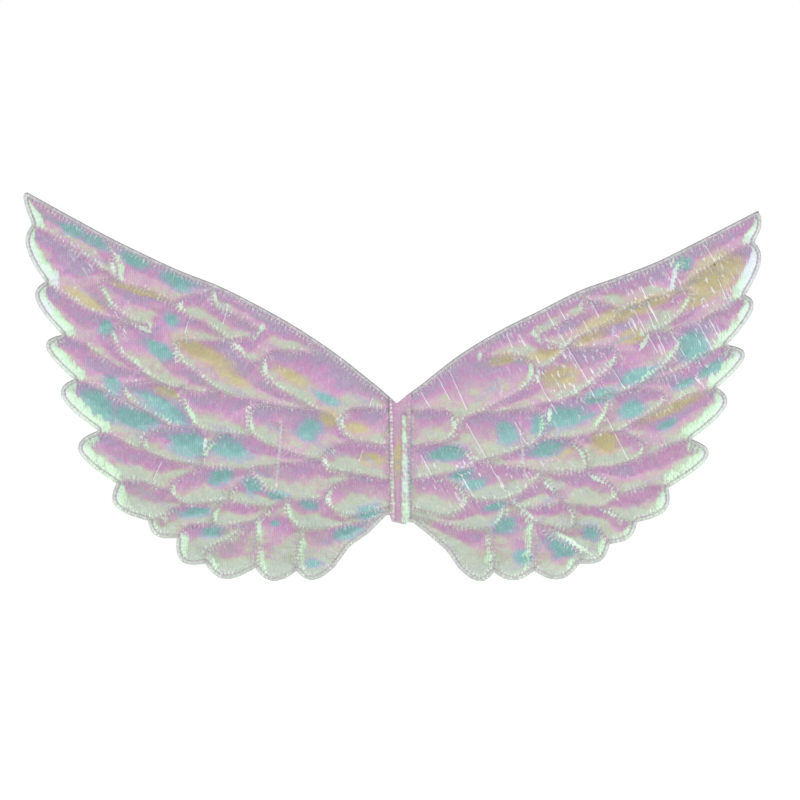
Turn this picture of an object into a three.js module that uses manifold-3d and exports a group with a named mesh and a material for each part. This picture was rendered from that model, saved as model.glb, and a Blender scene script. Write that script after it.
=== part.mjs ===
// Child's fairy wings: two quilted wings of iridescent film fabric joined by a pleated centre strip, with
// an elastic arm loop sewn behind each wing. Millimetres, +Z up, the front towards -Y, X to the viewer's
// right. The origin is on the back face of the tape behind the centre strip, which lies on the wearer's
// back.
import * as THREE from 'three';
import { mergeVertices } from 'three/addons/utils/BufferGeometryUtils.js';
import Module from 'manifold-3d';

const wasm = await Module();
wasm.setup();

// ---- driving dimensions ----

const GAP = 0.3; // left between pieces that touch
const CLOTH = 0.6; // film fabric with its interlining
const WADDING = 5; // loft of the wadding inside a wing
const SEAM_EDGE = 4; // flat stitched edge round the padded part of a wing
const THREAD_THICK = 0.3;
const THREAD_WIDE = 1;
const EDGE_STITCH_IN = 2; // stitch row's distance from the cut edge
const HANDLE = 0.75; // how far a feather tip's curve handles reach towards its corner point
const LOOP_SEARCH = 12; // points of an inset outline searched for a loop at a tight turn

const STRIP_LEFT = -8;
const STRIP_RIGHT = 7.2;
const STRIP_TOP = 56; // long enough to be cut by the V between the wings
const STRIP_BOTTOM = -48;
const STRIP_V = [-3, 42]; // lowest point of the V between the leading edges
const TAPE_THICK = 0.8;
const HINGE_TO_STRIP = 0.4; // fold line to the strip's edge
const HINGE_TO_WING = 0.8; // fold line to the wing panels

const ELASTIC_THICK = 1.2;
const ELASTIC_WIDE = 12;
const ELASTIC_AT = 85; // sewing line's distance from the centre line
const ELASTIC_SEWN = { top: 29, bottom: -16 };
const SEWN_END_REACH = 8; // how far behind the wing the fixed stretch of elastic is modelled
const LOOP_START = 12; // where the swinging stretch starts, clear of the fixed one as it turns
const JOIN_BOX = { wide: 8, high: 14 }; // stitched rectangle where the elastic's ends overlap

// ---- wing pattern ----

// u is the distance from the centre line. Each feather tip of the outer edge is drawn as
// [corner u, corner z, notch u, notch z]: it swells towards its corner and ends in its notch.
const WINGS = {
  left: {
    sign: -1,
    inner: -STRIP_LEFT + HINGE_TO_STRIP + HINGE_TO_WING,
    leading: [[14, 52], [43, 75], [71, 94], [99, 110], [127, 124], [155, 135], [183, 148], [211, 162]],
    point: [262, 190],
    tips: [
      [267, 189, 258, 167], [269, 155, 249, 127], [265, 119, 237, 90], [260, 86, 229, 59],
      [250, 50, 212, 23], [241, 12, 199, -14], [209, -32, 177, -40], [175, -54, 157, -52],
      [159, -74, 137, -70], [126, -88, 102, -73], [91, -89, 73, -75], [63, -88, 46, -72],
    ],
    lower: [[36, -58], [23, -49]],
    seam: (u, z) => [u, z],
  },
  right: {
    sign: 1,
    inner: STRIP_RIGHT + HINGE_TO_STRIP + HINGE_TO_WING,
    leading: [[14, 55], [41, 76], [69, 93], [97, 107], [125, 121], [153, 131], [181, 142], [209, 156]],
    point: [250, 177],
    tips: [
      [255, 167, 247, 155], [258, 145, 241, 118], [255, 112, 228, 83], [253, 80, 221, 53],
      [239, 43, 203, 17], [230, 8, 187, -17], [192, -36, 165, -41], [163, -55, 146, -56],
      [143, -72, 125, -70], [112, -88, 93, -75], [79, -87, 65, -76], [56, -89, 40, -73],
    ],
    lower: [[32, -61], [17, -48]],
    seam: (u, z) => [0.955 * u + 0.04 * z - 2.6, 0.975 * z - 0.02 * u], // drawn up by its creases
  },
};

// Quilting seams on the left wing's pattern, as [u, z] points. Seams that meet share a point, and a seam
// with a notch number starts at that notch of the outer edge.
const SEAMS = [
  // between the outer feathers, from the notches inwards
  { notch: 1, points: [[240, 157], [219, 143], [196, 127]] },
  { notch: 2, points: [[232, 115], [215, 106], [196, 100], [178, 97]] },
  { notch: 3, points: [[222, 83], [205, 72], [190, 65], [176, 61]] },
  { notch: 4, points: [[212, 53], [195, 44], [178, 35], [160, 26]] },
  { notch: 5, points: [[200, 18], [185, 11], [160, 2]] },
  { notch: 6, points: [[185, -12], [162, -19]] },
  { notch: 7, points: [[168, -37], [158, -31], [145, -28]] },
  { notch: 8, points: [[149, -44], [131, -41]] },
  { notch: 9, points: [[135, -60], [119, -52], [102, -39]] },
  { notch: 10, points: [[102, -55], [102, -39]] },
  { notch: 11, points: [[73, -62], [70, -45]] },
  // first inner row
  { points: [[206, 158], [203, 148], [199, 136], [196, 127], [178, 121], [158, 112]] },
  { points: [[196, 127], [205, 129], [211, 126], [205, 113], [193, 103], [178, 97]] },
  { points: [[178, 97], [192, 98], [203, 94], [203, 88], [197, 78], [188, 70], [176, 61]] },
  { points: [[160, 54], [176, 57], [190, 56], [194, 51], [191, 45], [184, 40], [160, 26]] },
  { points: [[142, 25], [160, 26], [173, 23], [180, 18], [180, 12], [174, 6], [160, 2], [138, -1]] },
  { points: [[138, -1], [150, -7], [159, -13], [162, -19], [156, -25], [145, -28], [120, -25]] },
  { points: [[120, -25], [129, -30], [132, -36], [131, -41], [126, -44], [102, -39], [90, -30], [79, -24]] },
  // second inner row
  { points: [[135, 127], [132, 120], [131, 111], [115, 103], [100, 94]] },
  { points: [[132, 120], [146, 118], [158, 112], [150, 104], [138, 98], [119, 86]] },
  { points: [[119, 86], [138, 86], [155, 86], [158, 79], [150, 68], [126, 51], [105, 45], [85, 41], [58, 37]] },
  { points: [[176, 61], [160, 54], [152, 55]] },
  { points: [[126, 51], [140, 50], [152, 50], [153, 43], [148, 32], [142, 25], [123, 21], [104, 20]] },
  { points: [[152, 55], [152, 50]] },
  { points: [[123, 21], [132, 16], [138, 8], [138, -1], [125, -3], [105, -4]] },
  { points: [[105, -4], [111, -12], [119, -19], [120, -25], [110, -28], [90, -30]] },
  // third inner row
  { points: [[100, 94], [106, 89], [119, 86], [113, 77], [106, 72], [97, 72]] },
  { points: [[70, 94], [65, 87], [60, 78], [78, 79], [91, 78], [97, 72], [96, 62], [88, 54], [74, 46], [58, 37]] },
  { points: [[58, 37], [80, 39], [100, 40], [106, 35], [107, 28], [104, 20], [92, 13], [75, 7], [56, 3]] },
  { points: [[56, 3], [72, 1], [90, -1], [105, -4], [100, -13], [90, -20], [79, -24], [66, -25], [53, -24]] },
  { points: [[79, -24], [80, -34], [76, -41], [70, -45], [50, -45], [30, -41], [14, -37]] },
  // next to the centre strip
  { points: [[14, 38], [25, 39], [37, 37], [43, 28], [38, 19], [27, 15], [14, 13]] },
  { points: [[58, 37], [50, 34], [43, 28]] },
  { points: [[27, 15], [40, 14], [50, 10], [56, 3], [50, -3], [38, -6], [27, -8], [14, -12]] },
  { points: [[27, -8], [40, -12], [49, -17], [53, -24], [50, -31], [38, -36], [24, -34], [14, -31]] },
];

// Free stretch of the elastic from the top of its sewn stretch round to the bottom, as [y, z] behind the
// wing. It drops under its own weight.
const LOOP = [
  [0.9, 29], [2.4, 35], [9, 42], [24, 48], [46, 47], [68, 38], [86, 20], [94, -4], [92, -30],
  [80, -50], [60, -62], [38, -63], [20, -53], [8, -38], [2.4, -25], [0.9, -16],
];

// ---- layer positions, the depth of each front face in front of the origin ----

const BACK_FRONT = CLOTH;
const FLANGE_BACK = BACK_FRONT + GAP;
const FLANGE_FRONT = FLANGE_BACK + CLOTH;
const WADDING_FRONT = FLANGE_BACK + WADDING;
const DOME_FRONT = WADDING_FRONT + GAP + CLOTH;
const QUILT_BACK = DOME_FRONT + GAP;
const ANCHOR_BACK = QUILT_BACK + THREAD_THICK + GAP;

// ---- shape helpers ----

const vec = ([x, y]) => new THREE.Vector2(x, y);

function smooth(points, stepsPerSpan) {
  const curve = new THREE.SplineCurve(points.map(vec));
  return curve.getPoints(stepsPerSpan * (points.length - 1)).map((p) => [p.x, p.y]);
}

// Round feather tip from one notch to the next.
function tip(from, corner, to, steps = 7) {
  const handle = (end) => vec(end).lerp(vec(corner), HANDLE);
  const curve = new THREE.CubicBezierCurve(vec(from), handle(from), handle(to), vec(to));
  return curve.getPoints(steps).slice(1).map((p) => [p.x, p.y]);
}

// Unit normal on the left of the path at point i.
function normal(points, i, closed) {
  const n = points.length;
  const before = points[closed ? (i + n - 1) % n : Math.max(i - 1, 0)];
  const after = points[closed ? (i + 1) % n : Math.min(i + 1, n - 1)];
  const a = vec(points[i]).sub(vec(before)).normalize();
  const b = vec(after).sub(vec(points[i])).normalize();
  const along = a.clone().add(b).normalize();
  const reach = Math.max(Math.sqrt((1 + a.dot(b)) / 2), 0.5); // keeps sharp mitres short
  const scale = a.lengthSq() && b.lengthSq() ? 1 / reach : 1;
  return [-along.y * scale, along.x * scale];
}

// The path moved to its left by a distance.
function offset(points, distance, closed) {
  return points.map(([x, y], i) => {
    const [nx, ny] = normal(points, i, closed);
    return [x + nx * distance, y + ny * distance];
  });
}

function area(points) {
  return THREE.ShapeUtils.area(points.map(vec));
}

// Where segment ab crosses segment cd, or null.
function crossing(a, b, c, d) {
  const [rx, ry, sx, sy] = [b[0] - a[0], b[1] - a[1], d[0] - c[0], d[1] - c[1]];
  const cross = rx * sy - ry * sx;
  if (Math.abs(cross) < 1e-9) return null;
  const t = ((c[0] - a[0]) * sy - (c[1] - a[1]) * sx) / cross;
  const s = ((c[0] - a[0]) * ry - (c[1] - a[1]) * rx) / cross;
  return t > 0 && t < 1 && s > 0 && s < 1 ? [a[0] + t * rx, a[1] + t * ry] : null;
}

// Cuts off the small loops that an inset makes where the outline turns more tightly than its distance.
function withoutLoops(points) {
  const kept = [...points];
  for (let i = 0; i < kept.length - 3; i += 1) {
    for (let j = Math.min(i + LOOP_SEARCH, kept.length - 2); j > i + 1; j -= 1) {
      const meet = crossing(kept[i], kept[i + 1], kept[j], kept[j + 1]);
      if (meet) {
        kept.splice(i + 1, j - i, meet);
        break;
      }
    }
  }
  return kept;
}

// The closed outline shrunk by a distance all round.
function inset(points, distance) {
  return withoutLoops(offset(points, area(points) > 0 ? distance : -distance, true));
}

// Outline of a flat ribbon that follows a path.
function ribbon(points, width) {
  return [...offset(points, width / 2, false), ...offset(points, -width / 2, false).reverse()];
}

function prism(points, depth) {
  return new THREE.ExtrudeGeometry(new THREE.Shape(points.map(vec)), { depth, bevelEnabled: false });
}

// A flat piece of the [x, z] outline, from depth `back` to depth `front` in front of the origin.
function layer(points, back, front) {
  return prism(points, front - back).rotateX(Math.PI / 2).translate(0, -back, 0);
}

// A flat ribbon lying in a [y, z] plane, centred on x.
function hanging(points, thick, x, width) {
  const toYZ = new THREE.Matrix4().makeBasis(
    new THREE.Vector3(0, 1, 0), new THREE.Vector3(0, 0, 1), new THREE.Vector3(1, 0, 0),
  );
  return prism(ribbon(points, thick), width).applyMatrix4(toYZ).translate(x - width / 2, 0, 0);
}

// ---- solids ----

function solid(geometry) {
  geometry.deleteAttribute('normal');
  geometry.deleteAttribute('uv');
  const merged = mergeVertices(geometry, 1e-4);
  const vertProperties = new Float32Array(merged.attributes.position.array);
  const triVerts = new Uint32Array(merged.index.array);
  return new wasm.Manifold(new wasm.Mesh({ numProp: 3, vertProperties, triVerts }));
}

function surface(body) {
  const mesh = body.getMesh();
  const geometry = new THREE.BufferGeometry();
  geometry.setAttribute('position', new THREE.BufferAttribute(new Float32Array(mesh.vertProperties), 3));
  geometry.setIndex(new THREE.BufferAttribute(new Uint32Array(mesh.triVerts), 1));
  return geometry;
}

const join = (geometries) => geometries.map(solid).reduce((whole, piece) => whole.add(piece));

// ---- materials ----

const material = (color, roughness, metalness = 0) =>
  new THREE.MeshStandardMaterial({ color, roughness, metalness });

const FILM = () => material(0xcd91cd, 0.35, 0.3);
const BACKING = () => material(0xe4d6e4, 0.7);
const FILLING = () => material(0xf5f5f0, 0.95);
const STITCH = () => material(0xd8d4dc, 0.6);
const ELASTIC = () => material(0xf2f2f2, 0.8);

const wings = new THREE.Group();

function add(name, geometry, finish) {
  const mesh = new THREE.Mesh(geometry, finish());
  mesh.name = name;
  wings.add(mesh);
}

// ---- one wing ----

function wingOutline(wing) {
  const leading = smooth([...wing.leading, wing.point], 2);
  const points = [[wing.inner, leading[0][1] - (leading[0][0] - wing.inner)], ...leading];
  let notch = wing.point;
  for (const [cu, cz, nu, nz] of wing.tips) {
    points.push(...tip(notch, [cu, cz], [nu, nz]));
    notch = [nu, nz];
  }
  const last = wing.lower[wing.lower.length - 1];
  points.push(...wing.lower, [wing.inner, last[1] + (last[0] - wing.inner)]);
  return points.map(([u, z]) => [wing.sign * u, z]);
}

function seamPath(wing, { notch, points }) {
  const path = points.map(([u, z]) => wing.seam(u, z));
  if (notch) path.unshift(wing.tips[notch - 1].slice(2));
  return path.map(([u, z]) => [wing.sign * u, z]);
}

// Back cloth, wadding and the front cloth, which is a tray that closes over the wadding.
function wingPanels(side, outline) {
  const padded = inset(outline, SEAM_EDGE);
  const filling = inset(outline, SEAM_EDGE + CLOTH + GAP);
  const hollow = inset(outline, SEAM_EDGE + CLOTH);
  add(`${side}_back_fabric`, layer(outline, 0, BACK_FRONT), BACKING);
  add(`${side}_wadding`, layer(filling, FLANGE_BACK, WADDING_FRONT), FILLING);
  const flange = solid(layer(outline, FLANGE_BACK, FLANGE_FRONT));
  const dome = solid(layer(padded, FLANGE_BACK, DOME_FRONT));
  const room = solid(layer(hollow, FLANGE_BACK - 1, WADDING_FRONT + GAP));
  add(`${side}_front_fabric`, surface(flange.add(dome).subtract(room)), FILM);
}

function wingStitching(side, wing, outline) {
  const row = inset(outline, EDGE_STITCH_IN).slice(2, -2);
  const rowOutline = ribbon(row, THREAD_WIDE);
  add(`${side}_edge_stitching`, layer(rowOutline, FLANGE_FRONT + GAP, FLANGE_FRONT + GAP + THREAD_THICK), STITCH);
  const runs = SEAMS.map((seam) => ribbon(seamPath(wing, seam), THREAD_WIDE));
  const quilt = join(runs.map((run) => layer(run, QUILT_BACK, QUILT_BACK + THREAD_THICK)));
  const padded = solid(layer(inset(outline, SEAM_EDGE), FLANGE_BACK, ANCHOR_BACK));
  add(`${side}_quilt_stitching`, surface(quilt.intersect(padded)), STITCH);
}

// ---- elastic arm loop ----

function armLoop(side, wing) {
  const x = wing.sign * ELASTIC_AT;
  const { top, bottom } = ELASTIC_SEWN;
  const free = smooth(LOOP, 4);
  const isEnd = ([y]) => y < SEWN_END_REACH;
  const topEnd = free.slice(0, free.findIndex((p) => !isEnd(p)));
  const bottomEnd = free.slice(free.findLastIndex((p) => !isEnd(p)) + 1);
  const fixed = [...topEnd.reverse(), ...bottomEnd.reverse()];
  add(`${side}_elastic_sewn_end`, hanging(fixed, ELASTIC_THICK, x, ELASTIC_WIDE), ELASTIC);
  const swinging = free.filter(([y]) => y >= LOOP_START);
  add(`${side}_elastic_loop`, hanging(swinging, ELASTIC_THICK, x, ELASTIC_WIDE), ELASTIC);

  const bar = [[x, bottom], [x, top]];
  const anchor = layer(ribbon(bar, 2 * THREAD_WIDE), ANCHOR_BACK, ANCHOR_BACK + THREAD_THICK);
  add(`${side}_anchor_stitching`, anchor, STITCH);

  const rectangle = (wide, high) => {
    const middle = (top + bottom) / 2;
    return [[-1, -1], [1, -1], [1, 1], [-1, 1]].map(([h, v]) => [x + h * wide / 2, middle + v * high / 2]);
  };
  const behind = ELASTIC_THICK + 2 * GAP;
  const whole = solid(layer(rectangle(JOIN_BOX.wide, JOIN_BOX.high), -behind - THREAD_THICK, -behind));
  const inner = rectangle(JOIN_BOX.wide - 2 * THREAD_WIDE, JOIN_BOX.high - 2 * THREAD_WIDE);
  const window = solid(layer(inner, -behind - 2 * THREAD_THICK, -behind + THREAD_THICK));
  add(`${side}_loop_join_stitching`, surface(whole.subtract(window)), STITCH);
}

// ---- centre strip ----

// Outline of the strip from the front: its top follows the V, and its lower end is cut on the slant.
const STRIP_OUTLINE = [
  [STRIP_LEFT, 46.5], STRIP_V, [STRIP_RIGHT, 51], [STRIP_RIGHT, -34], [5.2, -41], [3.4, -43],
  [-6.4, -40.5], [STRIP_LEFT, -36],
];

// Section of the strip across its width: two raised pleats with a valley between, and flat stitched edges.
function stripSection(back) {
  const flat = back + CLOTH;
  const [low, high] = [flat + 0.5, flat + 2.5];
  return [
    [STRIP_LEFT, -back], [STRIP_LEFT, -flat], [-6.4, -flat], [-6, -high + 0.8], [-5.2, -high],
    [-4.2, -high + 0.6], [-3.6, -low], [1, -low], [1.4, -high + 0.6], [2.4, -high], [3.6, -high + 0.6],
    [4.2, -flat], [STRIP_RIGHT, -flat], [STRIP_RIGHT, -back],
  ];
}

function centreStrip() {
  add('centre_back_tape', layer(STRIP_OUTLINE, 0, TAPE_THICK), BACKING);
  const back = TAPE_THICK + GAP;
  const pleats = prism(stripSection(back), STRIP_TOP - STRIP_BOTTOM).translate(0, 0, STRIP_BOTTOM);
  const cut = solid(layer(STRIP_OUTLINE, back - 1, back + 10));
  add('centre_strip', surface(solid(pleats).intersect(cut)), FILM);
  const front = back + CLOTH + GAP;
  const rows = { left: STRIP_LEFT + 0.7, right: STRIP_RIGHT - 1.5 };
  for (const [side, x] of Object.entries(rows)) {
    const row = ribbon([[x, -33], [x, 44]], THREAD_WIDE / 2);
    add(`${side}_strip_stitching`, layer(row, front, front + THREAD_THICK), STITCH);
  }
}

centreStrip();
for (const [side, wing] of Object.entries(WINGS)) {
  const outline = wingOutline(wing);
  wingPanels(side, outline);
  wingStitching(side, wing, outline);
  armLoop(side, wing);
}

export default wings;
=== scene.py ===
import math

import bpy
import numpy as np
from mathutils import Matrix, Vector, kdtree
from mathutils.geometry import delaunay_2d_cdt


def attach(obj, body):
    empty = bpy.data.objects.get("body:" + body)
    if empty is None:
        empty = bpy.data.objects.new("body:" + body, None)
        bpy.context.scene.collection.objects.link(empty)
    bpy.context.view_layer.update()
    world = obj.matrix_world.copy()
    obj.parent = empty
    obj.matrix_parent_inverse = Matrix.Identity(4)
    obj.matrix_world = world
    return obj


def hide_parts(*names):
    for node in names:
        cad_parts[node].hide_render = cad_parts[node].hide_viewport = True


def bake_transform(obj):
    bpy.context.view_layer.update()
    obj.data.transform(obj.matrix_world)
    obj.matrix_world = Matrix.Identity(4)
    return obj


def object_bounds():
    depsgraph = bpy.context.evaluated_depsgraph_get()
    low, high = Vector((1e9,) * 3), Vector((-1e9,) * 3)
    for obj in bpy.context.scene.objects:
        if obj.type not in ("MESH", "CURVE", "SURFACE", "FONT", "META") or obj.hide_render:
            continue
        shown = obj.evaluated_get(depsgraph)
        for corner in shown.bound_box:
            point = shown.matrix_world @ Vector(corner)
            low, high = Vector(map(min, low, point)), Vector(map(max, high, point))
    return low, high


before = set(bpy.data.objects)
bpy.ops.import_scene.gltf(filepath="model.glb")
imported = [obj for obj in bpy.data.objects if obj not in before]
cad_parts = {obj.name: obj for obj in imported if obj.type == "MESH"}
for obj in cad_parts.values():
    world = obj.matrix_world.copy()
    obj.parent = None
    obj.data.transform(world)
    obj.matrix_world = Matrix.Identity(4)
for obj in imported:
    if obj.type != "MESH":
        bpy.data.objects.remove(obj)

CAD_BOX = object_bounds()
MM = 0.001

# ---- sizes, in millimetres ----

CUT_EDGE_DEPTH = 0.75  # where the front and back cloths meet at the cut edge, in front of the origin
FRONT_SEAM_DEPTH = 1.3  # the front cloth where a seam holds it down
BACK_SEAM_DEPTH = 0.35  # the back cloth where a seam holds it down
EDGE_STITCH_IN = 2.6  # from the cut edge to its row of stitches
FRONT_SWELL = 3.6  # how far the front cloth rises between its seams before the solver shapes it
BACK_SWELL = 1.6
SWELL_REACH = 6.0  # distance from a seam over which the cloth rises
BAR_RISE = 0.4  # rise of the front cloth under the elastic's stitch bar, as a share of the swell
CREASE_HALF = 0.7  # from the ridge of a sharp crease to its foot
CREASE_RISE = 0.5

OUTLINE_STEP = 1.5  # between the points of a wing's cut edge
FINE_STEP = 0.5  # between the samples that distances are measured to
FRONT_SPACING = 2.0  # mesh spacing of the front cloth
BACK_SPACING = 3.0
WADDING_SPACING = 5.0
MESH_ROWS = 0.866  # between the rows of an even triangle mesh, as a share of its spacing
MESH_JITTER = 0.15  # random move of its free points, as a share of its spacing
MESH_CLEAR = 0.6  # from its fixed points to the nearest free one, as a share of its spacing
WADDING_FROM_CENTRE = 14.0  # the pad stops short of the centre strip
WADDING_GAP = 0.3  # between the pad and each cloth
HANDLE = 0.75  # how far a feather tip's curve handles reach towards its corner point

STITCH_PITCH = 2.9
STITCH_LENGTH = 2.3
STITCH_RADIUS = 0.19
STITCH_LIFT = 0.12  # rise of a stitch's middle over its ends
STITCHES_FROM_CENTRE = 10.5  # a wing's stitches stop short of the centre strip

SIM_SCALE = 10.0  # the cloth solver works on a wing this many times larger
SIM_FRAMES = 24
SIM_PRESSURE = 5.0
SIM_SPARE = 0.03  # spare cloth, as a share of its width

ELASTIC_AT = 85.0
ELASTIC_WIDE = 12.0
ELASTIC_THICK = 1.2
ELASTIC_ROUND = 0.35  # from the band's edge to where its face turns flat
ELASTIC_STEP = 1.6  # between the band's sections along its length
ELASTIC_BEHIND = 0.9  # from the origin back to the middle of the sewn stretch's thickness
ELASTIC_SEWN = (-16.0, 29.0)
BAR_AT = (83.5, 87.0)  # upper and lower end of the bar of stitches that holds the elastic

# ---- wing patterns, cut to the same outline as the CAD nodes ----

# Points are (u, z), where u is the distance from the centre line. Each feather tip is its corner point and
# the notch that ends it. The warp turns the shared seam pattern into this wing's.

WINGS = {
    "left": {
        "sign": -1,
        "inner": [4, 43],
        "leading": [[14, 52], [43, 75], [71, 94], [99, 110], [127, 124], [155, 135], [183, 148], [211, 162]],
        "point": [262, 190],
        "tips": [
            [267, 189, 258, 167], [269, 155, 249, 127], [265, 119, 237, 90], [260, 86, 229, 59],
            [250, 50, 212, 23], [241, 12, 199, -14], [209, -32, 177, -40], [175, -54, 157, -52],
            [159, -74, 137, -70], [126, -88, 102, -73], [91, -89, 73, -75], [63, -88, 46, -72],
        ],
        "lower": [[36, -58], [23, -49], [10, -36], [4, -36]],
        "warp": ((1.0, 0.0, 0.0), (0.0, 1.0, 0.0)),
    },
    "right": {
        "sign": 1,
        "inner": [3, 47],
        "leading": [[14, 55], [41, 76], [69, 93], [97, 107], [125, 121], [153, 131], [181, 142], [209, 156]],
        "point": [250, 177],
        "tips": [
            [255, 167, 247, 155], [258, 145, 241, 118], [255, 112, 228, 83], [253, 80, 221, 53],
            [239, 43, 203, 17], [230, 8, 187, -17], [192, -36, 165, -41], [163, -55, 146, -56],
            [143, -72, 125, -70], [112, -88, 93, -75], [79, -87, 65, -76], [56, -89, 40, -73],
        ],
        "lower": [[32, -61], [17, -48], [8, -41], [3, -41]],
        "warp": ((0.955, 0.04, -2.6), (-0.02, 0.975, 0.0)),
    },
}

# Quilting seams in the left wing's (u, z): the notch that each one starts from, or 0, and its points.
SEAMS = [
    (1, [[240, 157], [219, 143], [196, 127]]),
    (2, [[232, 115], [215, 106], [196, 100], [178, 97]]),
    (3, [[222, 83], [205, 72], [190, 65], [176, 61]]),
    (4, [[212, 53], [195, 44], [178, 35], [160, 26]]),
    (5, [[200, 18], [185, 11], [160, 2]]),
    (6, [[185, -12], [162, -19]]),
    (7, [[168, -37], [158, -31], [145, -28]]),
    (8, [[149, -44], [131, -41]]),
    (9, [[135, -60], [119, -52], [102, -39]]),
    (10, [[102, -55], [102, -39]]),
    (11, [[73, -62], [70, -45]]),
    (0, [[206, 158], [203, 148], [199, 136], [196, 127], [178, 121], [158, 112]]),
    (0, [[196, 127], [205, 129], [211, 126], [205, 113], [193, 103], [178, 97]]),
    (0, [[178, 97], [192, 98], [203, 94], [203, 88], [197, 78], [188, 70], [176, 61]]),
    (0, [[160, 54], [176, 57], [190, 56], [194, 51], [191, 45], [184, 40], [160, 26]]),
    (0, [[142, 25], [160, 26], [173, 23], [180, 18], [180, 12], [174, 6], [160, 2], [138, -1]]),
    (0, [[138, -1], [150, -7], [159, -13], [162, -19], [156, -25], [145, -28], [120, -25]]),
    (0, [[120, -25], [129, -30], [132, -36], [131, -41], [126, -44], [102, -39], [90, -30], [79, -24]]),
    (0, [[135, 127], [132, 120], [131, 111], [115, 103], [100, 94]]),
    (0, [[132, 120], [146, 118], [158, 112], [150, 104], [138, 98], [119, 86]]),
    (0, [[119, 86], [138, 86], [155, 86], [158, 79], [150, 68], [126, 51], [105, 45], [85, 41], [58, 37]]),
    (0, [[176, 61], [160, 54], [152, 55]]),
    (0, [[126, 51], [140, 50], [152, 50], [153, 43], [148, 32], [142, 25], [123, 21], [104, 20]]),
    (0, [[152, 55], [152, 50]]),
    (0, [[123, 21], [132, 16], [138, 8], [138, -1], [125, -3], [105, -4]]),
    (0, [[105, -4], [111, -12], [119, -19], [120, -25], [110, -28], [90, -30]]),
    (0, [[100, 94], [106, 89], [119, 86], [113, 77], [106, 72], [97, 72]]),
    (0, [[70, 94], [65, 87], [60, 78], [78, 79], [91, 78], [97, 72], [96, 62], [88, 54], [74, 46], [58, 37]]),
    (0, [[58, 37], [80, 39], [100, 40], [106, 35], [107, 28], [104, 20], [92, 13], [75, 7], [56, 3]]),
    (0, [[56, 3], [72, 1], [90, -1], [105, -4], [100, -13], [90, -20], [79, -24], [66, -25], [53, -24]]),
    (0, [[79, -24], [80, -34], [76, -41], [70, -45], [50, -45], [30, -41], [10, -36]]),
    (0, [[9, 38], [25, 39], [37, 37], [43, 28], [38, 19], [27, 15], [9, 13]]),
    (0, [[58, 37], [50, 34], [43, 28]]),
    (0, [[27, 15], [40, 14], [50, 10], [56, 3], [50, -3], [38, -6], [27, -8], [9, -12]]),
    (0, [[27, -8], [40, -12], [49, -17], [53, -24], [50, -31], [38, -36], [24, -34], [9, -30]]),
]

# Sharp straight creases in the film, as (x, z) of both ends.
CREASES = {
    "left": [
        ((-121, 111), (-124, 99)), ((-168, 0), (-173, -11)), ((-27, 9), (-29, 3)), ((-149, 99), (-151, 91)),
        ((-20, 46), (-22, 39)),
    ],
    "right": [
        ((101, 107), (132, 55)), ((131, 55), (143, 32)), ((92, 65), (109, 35)), ((46, 28), (72, -18)),
        ((34, 65), (46, 38)), ((168, 123), (179, 100)), ((163, 107), (179, 78)), ((172, 107), (186, 74)),
        ((208, 98), (218, 79)), ((142, 76), (156, 53)), ((144, 32), (158, 4)), ((111, 108), (116, 99)),
        ((74, 90), (78, 81)), ((213, 152), (220, 140)), ((26, 60), (34, 45)), ((14, 50), (20, 40)),
        ((128, 99), (131, 92)), ((80, 28), (87, 15)), ((14, 6), (24, -13)), ((216, 100), (222, 88)),
        ((188, 94), (198, 76)), ((130, 119), (138, 103)), ((222, 128), (227, 116)), ((235, 105), (238, 98)),
    ],
}

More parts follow.
